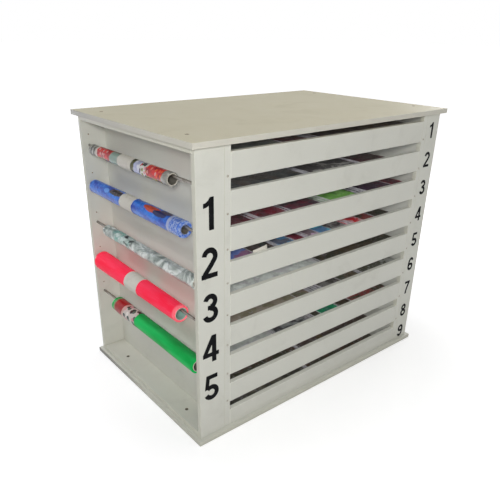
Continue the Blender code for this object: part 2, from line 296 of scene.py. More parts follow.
def vinyl():
    """Cut black sticker vinyl."""
    g = Graph("numeral_vinyl", srgb(14, 14, 16), 0.5, specular=0.05)
    place = g.coords()
    haze = g.noise(place, 60.0, 5.0, 0.6)
    base = g.mix(g.between(haze, 0.5, 0.8), srgb(12, 12, 14), srgb(30, 30, 33))
    return g.finished(base, g.bump(g.noise(place, 500.0), 0.00004, 0.5), g.scaled(haze, 0.42, 0.62))


def paperboard(name, colour):
    """Spiral-wound paper tube: pale fibre with the ply's slanted seams."""
    g = Graph(name, colour, 0.82)
    fibre = g.noise(g.coords((500.0, 160.0, 500.0)), 1.0, 4.0, 0.6)
    base = g.mix(fibre, shade(colour, 0.88), shade(colour, 1.04))
    x, y, z = g.split(g.coords())
    turns = g.times(g.math("ARCTAN2", z, x), 0.5 / math.pi)
    winding = g.math("FRACT", g.plus(g.times(y, 1 / TUBE_PLY_PITCH), turns))
    seam = g.inverse(g.band(winding, 0.03, 0.97, 0.02))
    base = g.stain(base, seam, 0.35, shade(colour, 0.62))
    scuff = g.between(g.noise(g.coords(shuffle=2.0), 60.0, 3.0), 0.5, 0.7)
    base = g.stain(base, scuff, 0.25, shade(colour, 0.75))
    return g.finished(base, g.bump(fibre, 0.0001))


def paper_band(name, colour):
    """White paper wrap with a faint fibre, cockle and handling marks."""
    g = Graph(name, colour, 0.72)
    place = g.coords(shuffle=3.0)
    fibre = g.noise(place, 700.0, 3.0, 0.6)
    base = g.mix(fibre, shade(colour, 0.95), shade(colour, 1.03))
    mark = g.between(g.noise(place, 45.0, 4.0), 0.5, 0.75)
    base = g.stain(base, mark, 0.25, srgb(168, 160, 146))
    cockle = g.noise(g.coords((60.0, 14.0, 60.0), 3.0), 1.0)
    return g.finished(base, g.bump(fibre, 0.00005, 0.5, g.bump(cockle, 0.0008, 0.5)))


LAMINATE = laminate("white_laminate_face", srgb(214, 214, 204), 0.10, 0.25, 0.40)
TOP_LAMINATE = laminate("top_laminate_face", srgb(203, 196, 168), 0.08, 0.35, 0.46, 0.33)
# An edging's last number is the strength of its painted shade at the rack's left back.
EDGE = edge_band("white_edge_band", srgb(214, 213, 199), 0.78)
# Lighter copy of the white edging for the lips: painted light that lifts the lips' shaded top edges.
LIP_EDGE_LIGHTENED = edge_band("lip_edge_band", srgb(240, 240, 230))
TOP_EDGE = edge_band("top_edge_band", srgb(213, 210, 197), 0.36)
CORE_WOOD = chipboard()
ROD_STEEL = steel("rod_drawn_steel", srgb(150, 146, 140), 0.34)
SCREW = screw_metal("screw_zinc_plate", srgb(122, 120, 106), srgb(70, 68, 58), 0.5)
PALE_SCREW = screw_metal("screw_painted_over", srgb(196, 192, 180), srgb(160, 152, 136), 0.1)
VINYL = vinyl()
TUBE = paperboard("core_tube_board", srgb(214, 208, 194))
TUBE_BLUE = paperboard("core_tube_blue", srgb(132, 146, 188))
# Bore lining: kraft grey, darkened further as painted shade inside the tube.
TUBE_BORE_SHADED = paperboard("core_tube_bore", srgb(116, 112, 102))
TUBE_MINT = paperboard("core_tube_mint", srgb(166, 200, 188))
BAND = paper_band("paper_band_white", srgb(222, 218, 208))


# Materials of the films: places along a roll are millimetres from its front end


def film_graph(name, roughness=0.3, coat=0.0, metallic=0.0, specular=0.22):
    """Start of a film's graph."""
    g = Graph(name, roughness=roughness, metallic=metallic, specular=specular)
    if coat:
        g.set("Coat Weight", coat)
        g.set("Coat Roughness", 0.12)
    return g


def film_creases(g, scale, depth, fine=0.35):
    """Lengthwise tension creases and small dents of wound film."""
    long_creases = g.noise(g.coords((1.0, 0.16, 1.0), 5.0), scale, 4.0, 0.62, 0.6)
    dents = g.cells(g.coords((1.0, 0.45, 1.0), 5.0), scale * 1.6, "SMOOTH_F1")
    return g.bump(g.plus(long_creases, g.times(dents, fine)), depth)


def skin_place(g):
    """Place on a roll's skin: millimetres along it, and the turn in radians and in degrees.

    The turn is 0 at the side away from the bay's wall and 90 degrees on top.
    """
    x, y, z = g.split(g.coords())
    turn = g.math("ARCTAN2", z, g.times(x, -1.0))
    return g.times(y, 1000.0), turn, g.times(turn, 180 / math.pi)


def laid_flat(g, along, radians, radius):
    """A roll's skin laid flat, in millimetres."""
    return g.node("CombineXYZ", {"X": g.times(radians, radius), "Y": along}).outputs[0]


def blob(g, along, turn, middle, half_length, angle, half_angle, rag=0.35):
    """Soft-edged printed patch on a roll's skin."""
    a = g.math("DIVIDE", g.minus(along, middle), half_length)
    b = g.math("DIVIDE", g.minus(turn, angle), half_angle)
    reach = g.plus(g.times(a, a), g.times(b, b))
    ragged = g.times(g.minus(g.noise(g.coords(), 90.0, 3.0), 0.5), rag * 3)
    return g.inverse(g.between(g.plus(reach, ragged), 0.78, 1.0))


def dots(g, flat, pitch, radius, randomness=0.5):
    """Mask and random tone of round dots about pitch millimetres apart."""
    sockets = {"Vector": flat, "Scale": 1 / pitch, "Randomness": randomness}
    spots = g.node("TexVoronoi", sockets, voronoi_dimensions="2D").outputs
    reach = radius / pitch
    mask = g.inverse(g.between(spots["Distance"], reach * 0.88, reach))
    return mask, g.split(spots["Color"])[0]


CONFETTI_INKS = (
    (0.0, 70, 60, 92), (0.22, 128, 130, 30), (0.42, 206, 44, 64),
    (0.58, 236, 236, 236), (0.72, 44, 54, 38), (0.86, 226, 150, 160),
)
SLEEVE_INKS = (
    (0.0, 36, 52, 44), (0.30, 208, 150, 158), (0.48, 58, 30, 34),
    (0.66, 226, 222, 216), (0.82, 88, 104, 92),
)


def film_printed():
    """Clear film with dotted prints in red, white and lilac between unprinted ends."""
    g = film_graph("film_print_mixed", 0.26, 0.12)
    y, radians, turn = skin_place(g)
    flat = laid_flat(g, y, radians, 18.0)
    y = g.plus(y, g.times(g.minus(g.noise(g.coords(), 55.0), 0.5), 14.0))
    haze = g.between(g.noise(g.coords((1, 0.3, 1)), 80.0, 4.0), 0.3, 0.7)
    colour = g.mix(haze, srgb(132, 132, 126), srgb(196, 194, 188))
    tone = g.noise(g.coords(), 48.0, 3.0)
    red = g.mix(g.between(tone, 0.35, 0.65), srgb(156, 4, 22), srgb(228, 36, 42))
    mask, pick = dots(g, flat, 13.0, 4.6)
    warm = g.mix(g.between(pick, 0.55, 0.6, False), srgb(240, 96, 56), srgb(230, 160, 158))
    red = g.mix(g.times(mask, g.between(pick, 0.28, 0.32, False)), red, warm)
    under = g.inverse(g.between(turn, -34.0, -12.0))
    leaf = g.ramp(tone, ((0.38, 52, 76, 34), (0.50, 150, 150, 40), (0.62, 40, 52, 96)))
    red = g.stain(red, under, 0.85, leaf)
    mask, pick = dots(g, flat, 11.0, 5.0, 0.9)
    confetti = g.mix(mask, srgb(226, 224, 220), g.ramp(pick, CONFETTI_INKS, "CONSTANT"))
    lilac = g.mix(g.between(tone, 0.4, 0.6), srgb(184, 190, 226), srgb(232, 234, 246))
    olive = g.mix(tone, srgb(38, 42, 28), srgb(104, 104, 52))
    prints = (
        (84, 150, 2, confetti),
        (23, 104, 2, red),
        (138, 174, 2, lilac),
        (174, 191, 1.5, olive),
        (272, 318, 6, srgb(142, 166, 156)),
        (319, 412, 3, red),
        (405, 414, 2, srgb(226, 206, 196)),
        (420, 428, 2, srgb(64, 62, 58)),
        (440, 450, 2, srgb(84, 86, 84)),
    )
    for first, last, soft, ink in prints:
        colour = g.mix(g.band(y, first, last, soft), colour, ink)
    edge = g.times(g.between(turn, 74.0, 92.0), g.band(y, 272, 400, 10))
    colour = g.stain(colour, edge, 0.7, srgb(104, 60, 64))
    return g.finished(colour, film_creases(g, 60.0, 0.0010))


def film_blue():
    """Royal blue film with dark and orange-red printed patches; its outer turn ends pale."""
    g = film_graph("film_print_blue", 0.28, 0.12)
    y, _, turn = skin_place(g)
    tone = g.noise(g.coords((1, 0.4, 1)), 46.0, 4.0)
    colour = g.mix(g.between(tone, 0.3, 0.7), srgb(2, 66, 186), srgb(34, 128, 240))
    mottle = g.noise(g.coords(), 115.0, 4.0, 0.65)
    colour = g.stain(colour, g.between(mottle, 0.56, 0.66), 0.55, srgb(112, 164, 240))
    colour = g.stain(colour, g.between(mottle, 0.44, 0.36), 0.5, srgb(8, 38, 122))
    warm = g.mix(g.noise(g.coords(), 110.0, 3.0), srgb(150, 24, 46), srgb(240, 96, 40))
    speckle = g.between(g.noise(g.coords(), 120.0), 0.5, 0.62)
    ink = g.mix(speckle, srgb(10, 12, 20), srgb(110, 84, 96))
    patches = (
        (150, 46, 66, 30, 0.35, warm),
        (104, 34, 54, 26, 0.35, srgb(16, 30, 92)),
        (82, 30, 88, 24, 0.35, srgb(70, 60, 92)),
        (362, 42, 62, 34, 0.5, ink),
        (416, 16, 44, 22, 0.35, srgb(92, 158, 240)),
    )
    for middle, half_length, angle, half_angle, rag, paint in patches:
        patch = blob(g, y, turn, middle, half_length, angle, half_angle, rag)
        colour = g.mix(patch, colour, paint)
    paler = g.between(g.noise(g.coords(), 150.0, 4.0, 0.65), 0.42, 0.60)
    pale = g.mix(paler, srgb(64, 112, 214), srgb(170, 190, 232))
    colour = g.mix(g.between(y, 46, 42), colour, pale)
    colour = g.mix(g.band(y, 44, 56, 1.5), colour, srgb(172, 184, 224))
    return g.finished(colour, film_creases(g, 55.0, 0.0012))


def film_silver():
    """Crumpled clear and silver film with a teal cast; the crumples' light and shade, shade in its creases
    and a shadow band are painted in.
    """
    g = film_graph("film_silver_marbled", 0.3, 0.2, 0.1)
    y, _, _ = skin_place(g)
    crumple_light_and_shade = (
        (0.30, 98, 108, 104), (0.40, 156, 166, 160), (0.50, 204, 211, 205),
        (0.60, 232, 237, 233), (0.72, 158, 168, 164),
    )
    # Painted light and shade of the crumples, with pale painted highlights.
    colour = g.ramp(g.noise(g.coords((1.0, 0.7, 1.0)), 24.0, 3.0, 0.55, 1.2), crumple_light_and_shade)
    fold = g.noise(g.coords((1.0, 0.8, 1.0)), 19.0, 3.0, 0.5, 1.2)
    # Painted shade along the creases.
    crease_shade = g.inverse(g.between(g.math("ABSOLUTE", g.minus(fold, 0.5)), 0.006, 0.05))
    colour = g.stain(colour, crease_shade, 0.42, srgb(88, 100, 98))
    patch = g.between(g.noise(g.coords(), 38.0), 0.46, 0.60)
    teal = g.times(g.band(y, 344, 452, 20), g.scaled(patch, 0.25, 0.9))
    colour = g.mix(teal, colour, srgb(104, 168, 156))
    # Painted shadow band on the film between 330 and 392 mm from its front.
    shadow = g.between(g.noise(g.coords((1, 0.5, 1)), 60.0), 0.53, 0.60)
    colour = g.mix(g.times(g.band(y, 330, 392, 12), shadow), colour, srgb(44, 52, 50))
    return g.finished(colour, film_creases(g, 50.0, 0.0026, 0.8))


def film_red():
    """Opaque fluorescent pink-red film; the turns at its front end lie loose and pale."""
    g = film_graph("film_fluorescent_red", 0.5, specular=0.08)
    y, _, _ = skin_place(g)
    tone = g.noise(g.coords((1, 0.25, 1)), 40.0, 4.0)
    colour = g.mix(g.between(tone, 0.3, 0.7), srgb(255, 34, 68), srgb(255, 62, 94))
    streak = g.between(g.noise(g.coords((1, 0.05, 1)), 300.0), 0.60, 0.70)
    colour = g.stain(colour, streak, 0.25, srgb(255, 112, 132))
    colour = g.stain(colour, g.between(y, 14, 4), 0.6, srgb(255, 150, 160))
    # Painted glow: the film emits a little light of its own to lift its colour.
    g.set("Emission Color", (1.0, 0.035, 0.085, 1))
    g.set("Emission Strength", 0.20)
    return g.finished(colour, film_creases(g, 40.0, 0.0006))


def film_green():
    """Plain green film with painted shade on its upper side."""
    g = film_graph("film_plain_green", 0.44, specular=0.12)
    _, _, turn = skin_place(g)
    tone = g.noise(g.coords((1, 0.2, 1)), 42.0, 4.0)
    colour = g.mix(g.between(tone, 0.3, 0.7), srgb(10, 172, 76), srgb(28, 198, 98))
    # Painted shade on the roll's upper side.
    colour = g.stain(colour, g.between(turn, 48, 84), 0.28, srgb(44, 104, 62))
    return g.finished(colour, film_creases(g, 42.0, 0.0007))


def sleeve_print():
    """Printed wrapper of the green roll: a dark red block, then grey and white mottling."""
    g = film_graph("sleeve_mottled_print", 0.34, 0.1)
    y, radians, turn = skin_place(g)
    mask, pick = dots(g, laid_flat(g, y, radians, 25.5), 17.0, 7.8, 0.9)
    mottle = g.mix(mask, srgb(204, 196, 190), g.ramp(pick, SLEEVE_INKS, "CONSTANT"))
    red = g.mix(g.noise(g.coords(), 70.0, 3.0), srgb(122, 16, 24), srgb(190, 44, 44))
    line = g.plus(y, g.times(turn, 0.10))
    colour = g.mix(g.between(line, 417, 420), mottle, red)
    colour = g.mix(g.band(line, 407, 418, 1), colour, srgb(206, 170, 160))
    colour = g.mix(g.between(y, 464, 467), colour, srgb(120, 150, 104))
    return g.finished(colour, film_creases(g, 55.0, 0.0008))


def bag_film():
    """Metallised gift bag film: a pile's own two tints, crumpled, with painted glints on its folds and
    painted shade in its crumples, its plies showing at the sides.
    """
    g = Graph("bag_metallised_film", roughness=0.25)
    tint = g.node("Attribute", attribute_name="tint").outputs
    second = g.node("Attribute", attribute_name="print").outputs["Color"]
    place = g.coords(shuffle=1.0)
    patch = g.noise(place, 17.0, 3.0, 0.55, 0.7)
    colour = g.mix(g.between(patch, 0.50, 0.56), tint["Color"], second)
    # Painted glints: pale lines laid along the film's folds.
    fold = g.minus(g.noise(place, 30.0, 2.0, 0.5, 1.2), 0.5)
    line = g.inverse(g.between(g.math("ABSOLUTE", fold), 0.004, 0.016))
    colour = g.stain(colour, line, 0.5, srgb(186, 182, 190))
    # Painted shade: the colour darkens in patches among the crumples; the same noise sets the roughness.
    shadow = g.noise(place, 40.0, 4.0, 0.6)
    colour = g.mix(g.scaled(g.between(shadow, 0.30, 0.62), 0.30, 0.0), colour, (0, 0, 0, 1))
    g.set("Metallic", g.times(tint["Alpha"], 0.6))
    crumple = g.plus(g.cells(place, 42.0, "SMOOTH_F1"), g.noise(place, 60.0, 4.0, 0.6, 0.8))
    sockets = {"Vector": g.coords((0, 0, 1)), "Scale": 260.0, "Distortion": 1.4}
    plies = g.node("TexWave", sockets, bands_direction="Z").outputs["Fac"]
    normal = g.bump(plies, 0.0003, 0.5, g.bump(crumple, 0.0022, 0.8))
    return g.finished(colour, normal, g.scaled(shadow, 0.22, 0.46))


FILMS = (film_printed(), film_blue(), film_silver(), film_red(), film_green())
SLEEVE = sleeve_print()
BAG = bag_film()


# Mesh helpers


def piece(name, shape, body, materials, nodes=(), origin=None, smooth=None):
    """Visible piece from a bmesh in world coordinates."""
    mesh = bpy.data.meshes.new(name)
    bmesh.ops.recalc_face_normals(shape, faces=shape.faces)
    if origin is not None:
        bmesh.ops.translate(shape, verts=shape.verts, vec=-origin)
    shape.to_mesh(mesh)
    shape.free()
    if smooth is not None:
        mesh.shade_smooth()
        mesh.set_sharp_from_angle(angle=math.radians(smooth))
    for material in materials:
        mesh.materials.append(material)
    made = bpy.data.objects.new(name, mesh)
    collection.objects.link(made)
    if origin is not None:
        made.location = origin
    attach(made, body)
    if nodes:
        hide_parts(*nodes)


def join_loops(shape, loops, ring):
    """Faces from each loop of vertices to the next, and from the last to the first for a ring."""
    pairs = list(zip(loops, loops[1:]))
    if ring:
        pairs.append((loops[-1], loops[0]))
    faces = []
    for lower, upper in pairs:
        for step in range(len(lower)):
            after = (step + 1) % len(lower)
            faces.append(shape.faces.new((lower[step], lower[after], upper[after], upper[step])))
    return faces


def add_turned(shape, outline, sides, matrix=Matrix(), ring=False, material=0):
    """Solid turned about Z from (radius, height) points; ring joins the last point to the first."""
    loops = []
    for radius, height in outline:
        loop = []
        for step in range(sides):
            angle = 2 * math.pi * step / sides
            point = Vector((radius * math.cos(angle), radius * math.sin(angle), height))
            loop.append(shape.verts.new(matrix @ point))
        loops.append(loop)
    caps = [] if ring else [shape.faces.new(loops[0]), shape.faces.new(loops[-1])]
    for face in caps + join_loops(shape, loops, ring):
        face.material_index = material


def drilled(shape, holes):
    """The shape with the holes cut out; hole walls keep the material index of the holes."""
    scratch = []
    for source in (shape, holes):
        bmesh.ops.recalc_face_normals(source, faces=source.faces)
        mesh = bpy.data.meshes.new("scratch")
        source.to_mesh(mesh)
        source.free()
        for _ in range(3):
            mesh.materials.append(CORE_WOOD)
        made = bpy.data.objects.new("scratch", mesh)
        collection.objects.link(made)
        scratch.append(made)
    modifier = scratch[0].modifiers.new("holes", "BOOLEAN")
    modifier.operation = "DIFFERENCE"
    modifier.solver = "EXACT"
    modifier.object = scratch[1]
    evaluated = scratch[0].evaluated_get(bpy.context.evaluated_depsgraph_get())
    result = bmesh.new()
    result.from_mesh(evaluated.to_mesh())
    evaluated.to_mesh_clear()
    for made in scratch:
        mesh = made.data
        bpy.data.objects.remove(made)
        bpy.data.meshes.remove(mesh)
    return result


def front_end(low, high):
    """Middle of the front end of a round piece that lies along Y, and the piece's length."""
    centre = (low + high) / 2
    return Vector((centre.x, low.y, centre.z)), high.y - low.y


# Boards, screws and rods

ALONG_Y = Matrix.Rotation(-math.pi / 2, 4, "X")
DOWN = Matrix.Rotation(math.pi, 4, "X")

# Metres
ARRIS = 0.0007
TOP_HEAD = 0.0055
SMALL_HEAD = 0.0031
ROD_HOLE = 0.0043
PILOT_HOLE = 0.0021
ROD_CHAMFER = 0.0006
SOCKET_LENGTH = 0.7
PILOT_LENGTH = 0.035

# Millimetres: the rods' line, where their sockets start, and the pilot holes above them
ROD_X = 22.5
ROD_HEIGHTS = [share * BODY_HEIGHT for share in (0.889, 0.744, 0.586, 0.440, 0.282)]
SOCKET_START = 7
PILOT_START = 620
PILOT_RISE = 34

# Millimetres: places of the screws
TOP_SCREW_X = {"left": 40, "right": 970}
TOP_SCREW_INSET = 88
BATTEN_SCREW_X = {"left": 98, "right": 922}
FLOOR_SCREW_X = {"left": 33, "right": 967}
FLOOR_SCREW_Y = (126, 510)
FLOOR_FACE = 15.3


def height_of(node):
    """Millimetres from the base panel's face to the node's top."""
    return (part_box(node)[1].z - BOARD / 1000) * 1000


FLOORS = {tier: height_of(f"shelf_{tier}") if tier > 1 else 0.0 for tier in TIERS}
LIP_TOPS = {tier: height_of(f"lip_{tier}") for tier in TIERS}


def board_shape(low, high):
    """Board with rounded arrises: face index 0, edging index 1."""
    size = high - low
    thin = min(range(3), key=lambda axis: size[axis])
    shape = bmesh.new()
    matrix = Matrix.Translation((low + high) / 2) @ Matrix.Diagonal((*size, 1))
    bmesh.ops.create_cube(shape, size=1, matrix=matrix)
    bmesh.ops.bevel(shape, geom=shape.edges[:], offset=ARRIS, segments=3, profile=0.5, affect="EDGES")
    shape.normal_update()
    for face in shape.faces:
        face.material_index = 0 if abs(face.normal[thin]) > 0.999 else 1
    return shape


def board(node, holes=None, face=LAMINATE, edging=EDGE):
    """A board's piece, with its holes cut."""
    shape = board_shape(*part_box(node))
    if holes:
        shape = drilled(shape, holes)
    piece(node + "_board", shape, "carcass", (face, edging, CORE_WOOD), [node])


def add_hole(holes, matrix, radius):
    """Countersunk hole for a screw head of that radius."""
    mouth = radius * 1.04
    shank = radius * 0.5
    outline = ((mouth, -0.002), (mouth, radius * 0.28), (shank, radius * 0.95), (shank, radius * 1.9))
    add_turned(holes, outline, 32, matrix, material=2)


def add_screw(shape, matrix, radius, turn):
    """Countersunk head with a cross recess, its top just under the board's face."""
    sink = radius * 0.12
    outline = (
        (radius * 0.93, sink),
        (radius, sink + radius * 0.06),
        (radius, sink + radius * 0.12),
        (radius * 0.45, sink + radius * 0.72),
        (radius * 0.42, sink + radius * 1.5),
    )
    head = bmesh.new()
    add_turned(head, outline, 32)
    arm = radius * 0.52
    wide = radius * 0.13
    cross = []
    for quarter in range(4):
        spin = Matrix.Rotation(turn + quarter * math.pi / 2, 4, "Z")
        for across, out in ((arm, -wide), (arm, wide), (wide, wide)):
            cross.append(spin @ Vector((across, out, 0)))
    recess = bmesh.new()
    deep = sink + radius * 0.42
    rows = [[recess.verts.new(corner + Vector((0, 0, z))) for corner in cross] for z in (-0.001, deep)]
    for row in rows:
        recess.faces.new(row)
    join_loops(recess, rows, False)
    head = drilled(head, recess)
    head.transform(matrix)
    mesh = bpy.data.meshes.new("scratch")
    head.to_mesh(mesh)
    head.free()
    shape.from_mesh(mesh)
    bpy.data.meshes.remove(mesh)


def add_fixing(holes, heads, matrix, radius, draw):
    """A screw's hole, and its head turned at random."""
    add_hole(holes, matrix, radius)
    add_screw(heads, matrix, radius, draw.uniform(0, 3))


def add_bore(holes, radius, y, z, length, sides):
    """Straight hole along Y on the rods' line."""
    matrix = Matrix.Translation(at(ROD_X, y, z)) @ ALONG_Y
    add_turned(holes, ((radius, 0), (radius, length)), sides, matrix, material=2)


def build_top(draw):
    """Top panel and the heads of its four screws."""
    holes = bmesh.new()
    for side, x in TOP_SCREW_X.items():
        for end, y in (("front", TOP_SCREW_INSET), ("back", BODY_DEPTH - TOP_SCREW_INSET)):
            head = bmesh.new()
            matrix = Matrix.Translation(at(x, y, BODY_HEIGHT + BOARD)) @ DOWN
            add_fixing(holes, head, matrix, TOP_HEAD, draw)
            name = f"top_screw_{side}_{end}"
            piece(name + "_head", head, "carcass", (SCREW,), [name], smooth=35)
    board("top_panel", holes, TOP_LAMINATE, TOP_EDGE)


def build_bay(side, draw):
    """Boards of one end of the rack, and the screws of its batten and floor."""
    sockets = None
    through = None
    if side == "left":
        sockets = bmesh.new()
        through = bmesh.new()
        for height in ROD_HEIGHTS:
            add_bore(sockets, ROD_HOLE, SOCKET_START, height, SOCKET_LENGTH, 32)
            add_bore(through, ROD_HOLE, SOCKET_START, height, SOCKET_LENGTH, 32)
            add_bore(through, PILOT_HOLE, PILOT_START, height + PILOT_RISE, PILOT_LENGTH, 16)
    board(f"{side}_front_stile", sockets)
    board(f"{side}_back_stile", through)
    board(f"{side}_partition")
    board(f"{side}_bay_ceiling")
    holes = bmesh.new()
    heads = bmesh.new()
    for tier in TIERS[1:]:
        place = at(BATTEN_SCREW_X[side], 0, FLOORS[tier] - BOARD / 2)
        add_fixing(holes, heads, Matrix.Translation(place) @ ALONG_Y, SMALL_HEAD, draw)
    board(f"{side}_batten", holes)
    piece(f"{side}_batten_screws", heads, "carcass", (PALE_SCREW,), smooth=35)
    holes = bmesh.new()
    heads = bmesh.new()
    for y in FLOOR_SCREW_Y:
        place = at(FLOOR_SCREW_X[side], y, FLOOR_FACE)
        add_fixing(holes, heads, Matrix.Translation(place) @ DOWN, TOP_HEAD, draw)
    board(f"{side}_bay_floor", holes)
    piece(f"{side}_floor_screws", heads, "carcass", (SCREW,), smooth=35)


def build_boards():
    """Every board, with the holes of its screws and rods."""
    draw = random.Random(4)
    build_top(draw)
    board("base_panel")
    for side in ("left", "right"):
        build_bay(side, draw)
    for tier in TIERS:
        # The lips get the lighter edging that carries painted light.
        board(f"lip_{tier}", edging=LIP_EDGE_LIGHTENED)
        if tier > 1:
            board(f"shelf_{tier}")


def build_rods():
    """Rods with chamfered ends."""
    for number in range(1, 6):
        node = f"rod_{number}"
        low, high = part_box(node)
        start, length = front_end(low, high)
        radius = (high.x - low.x) / 2
        nose = radius - ROD_CHAMFER
        outline = ((nose, 0), (radius, ROD_CHAMFER), (radius, length - ROD_CHAMFER), (nose, length))
        shape = bmesh.new()
        add_turned(shape, outline, 48, Matrix.Translation(start) @ ALONG_Y)
        piece(node + "_bar", shape, node, (ROD_STEEL,), [node], origin=start, smooth=40)


# Rolls of film

# Each roll's radii in millimetres at its front and rear and in its bore, how far in metres its
# film ripples and its free edge stands proud, where that edge lies in radians, and its tube
ROLLS = (
    (19.5, 17.5, 14.3, 0.0008, 0.0006, 2.3, (TUBE, TUBE_BORE_SHADED)),
    (23.4, 21.6, 12.2, 0.0005, 0.0006, 3.6, (TUBE_BLUE, TUBE_BORE_SHADED)),
    (18.2, 18.6, 12.4, 0.0011, 0.0008, 2.0, (TUBE, TUBE_BORE_SHADED)),
    (26.0, 32.0, 17.6, 0.0003, 0.0005, 3.9, (TUBE, TUBE_MINT)),
    (24.5, 25.0, 16.0, 0.0004, 0.0006, 2.5, (TUBE, TUBE_BORE_SHADED)),
)

# Paper round a roll: the roll, its span in millimetres from the front, its word and its finish
WRAPS = (
    (1, 190, 268, "band", BAND),
    (2, 248, 323, "band", BAND),
    (4, 212, 289, "band", BAND),
    (5, 330, 474, "sleeve", SLEEVE),
)

# Metres
TUBE_RIM = 0.0004
END_TURNS = 9
END_STEP = 0.0004
SKIN_ROUND = 0.0006
HUB_GAP = 0.0003
WRAP_LAP = 0.0007
WRAP_LIFT = 0.0005
WRAP_THICK = 0.0002


def wrapped(shape, place, outline, ripple, seed, lap, lap_angle):
    """Turned ring along +Y whose skin ripples, with the free edge of its last turn standing proud."""
    sides = 96
    loops = []
    for radius, y, swell in outline:
        loop = []
        for step in range(sides):
            angle = 2 * math.pi * step / sides
            direction = Vector((math.cos(angle), 0, math.sin(angle)))
            probe = Vector((direction.x * 1.6, y * 14, direction.z * 1.6)) + Vector((seed, 0, 0))
            bend = noise.noise(probe) * ripple + noise.noise(probe * 3.1) * ripple * 0.4
            behind = ((angle - lap_angle) % (2 * math.pi)) / (2 * math.pi)
            grow = swell * (bend + lap * (0.5 - behind))
            loop.append(shape.verts.new(place + direction * (radius + grow) + Vector((0, y, 0))))
        loops.append(loop)
    join_loops(shape, loops, True)


def build_tube(number, start, length, inside, materials):
    """Paperboard tube with eased rims, a little longer than its film."""
    low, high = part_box(f"roll_core_{number}")
    outside = (high.x - low.x) / 2
    front = -(start.y - low.y)
    back = length - front
    outline = (
        (inside, front + TUBE_RIM),
        (inside + TUBE_RIM, front),
        (outside - TUBE_RIM, front),
        (outside, front + TUBE_RIM),
        (outside, back - TUBE_RIM),
        (outside - TUBE_RIM, back),
        (inside + TUBE_RIM, back),
        (inside, back - TUBE_RIM),
    )
    shape = bmesh.new()
    add_turned(shape, outline, 64, Matrix.Translation(start) @ ALONG_Y, ring=True)
    for face in shape.faces:
        middle = face.calc_center_median() - start
        bore = math.hypot(middle.x, middle.z) < inside + TUBE_RIM / 4
        face.material_index = 1 if bore else 0
    piece(
        f"roll_{number}_tube", shape, f"roll_{number}", materials,
        [f"roll_core_{number}"], origin=start, smooth=40,
    )
    return outside


def film_outline(hub, front, rear, length):
    """Profile of wound film: stepped turns at both ends and a skin of many rows."""
    turns = [(turn / END_TURNS, END_STEP * (turn % 2)) for turn in range(END_TURNS)]
    rows = 72
    outline = [(hub + (front / 1000 - hub) * share, step - END_STEP, 0.2) for share, step in turns]
    outline.append((front / 1000 - END_STEP, 0.0, 1.0))
    for row in range(rows + 1):
        share = row / rows
        radius = (front + (rear - front) * share) / 1000
        outline.append((radius, SKIN_ROUND + share * (length - 2 * SKIN_ROUND), 1.0))
    outline.append((rear / 1000 - END_STEP, length, 1.0))
    for share, step in reversed(turns):
        outline.append((hub + (rear / 1000 - hub) * share, length + END_STEP - step, 0.2))
    return outline


def wrap_outline(first, last, front, rear, length, lift):
    """Profile of a thin wrap that follows the film's skin."""
    steps = 14
    outer = []
    for step in range(steps + 1):
        y = first + (last - first) * step / steps
        skin = (front + (rear - front) * y / (length * 1000)) / 1000
        outer.append((skin + lift, y / 1000, 1.0))
    return outer + [(radius - WRAP_THICK, y, swell) for radius, y, swell in reversed(outer)]


def build_rolls():
    """Film wound on its tubes, with paper bands and the printed sleeve."""
    for number, (front, rear, bore, ripple, lap, lap_angle, tube) in enumerate(ROLLS, 1):
        start, length = front_end(*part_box(f"roll_film_{number}"))
        body = f"roll_{number}"
        seed = number * 7.3
        outside = build_tube(number, start, length, bore / 1000, tube)
        shape = bmesh.new()
        outline = film_outline(outside + HUB_GAP, front, rear, length)
        wrapped(shape, start, outline, ripple, seed, lap, lap_angle)
        piece(
            f"{body}_film", shape, body, (FILMS[number - 1],),
            [f"roll_film_{number}"], origin=start, smooth=50,
        )
        lift = ripple * 0.6 + WRAP_LIFT
        for owner, first, last, word, material in WRAPS:
            if owner == number:
                shape = bmesh.new()
                outline = wrap_outline(first, last, front, rear, length, lift)
                wrapped(shape, start, outline, ripple, seed, WRAP_LAP, lap_angle - 0.9)
                name = f"{body}_{word}"
                piece(name, shape, body, (material,), origin=start, smooth=50)


# Bags

# A pile's finish: its two display tints and its metallic share
DARK = ((84, 84, 76), (108, 98, 88), 0.35)
SMOKE = ((76, 82, 80), (92, 88, 84), 0.35)
# GLINT and its darker copies further down: dark film whose pale second tint is a painted glint.
GLINT = ((96, 98, 92), (196, 196, 198), 0.30)
PEARL = ((230, 230, 230), (212, 210, 216), 0.10)
ASH = ((198, 198, 198), (184, 183, 188), 0.10)
MAROON = ((128, 60, 70), (96, 68, 66), 0.30)
RED = ((168, 52, 74), (120, 48, 64), 0.30)
BRIGHT_RED = ((244, 44, 62), (250, 190, 196), 0.10)
PLUM = ((96, 72, 90), (138, 66, 88), 0.30)
HAZE = ((112, 180, 236), (118, 124, 146), 0.12)
SKY = ((96, 214, 255), (104, 150, 194), 0.06)
LILAC = ((124, 152, 226), (172, 116, 152), 0.12)
LAVENDER = ((244, 214, 238), (150, 126, 136), 0.12)
LIME = ((140, 206, 96), (172, 226, 130), 0.10)
TEAL = ((44, 176, 120), (70, 150, 122), 0.20)
BROWN = ((186, 172, 156), (164, 152, 134), 0.15)
COCOA = ((84, 80, 66), (104, 88, 72), 0.35)
RUST = ((170, 84, 80), (94, 80, 64), 0.25)
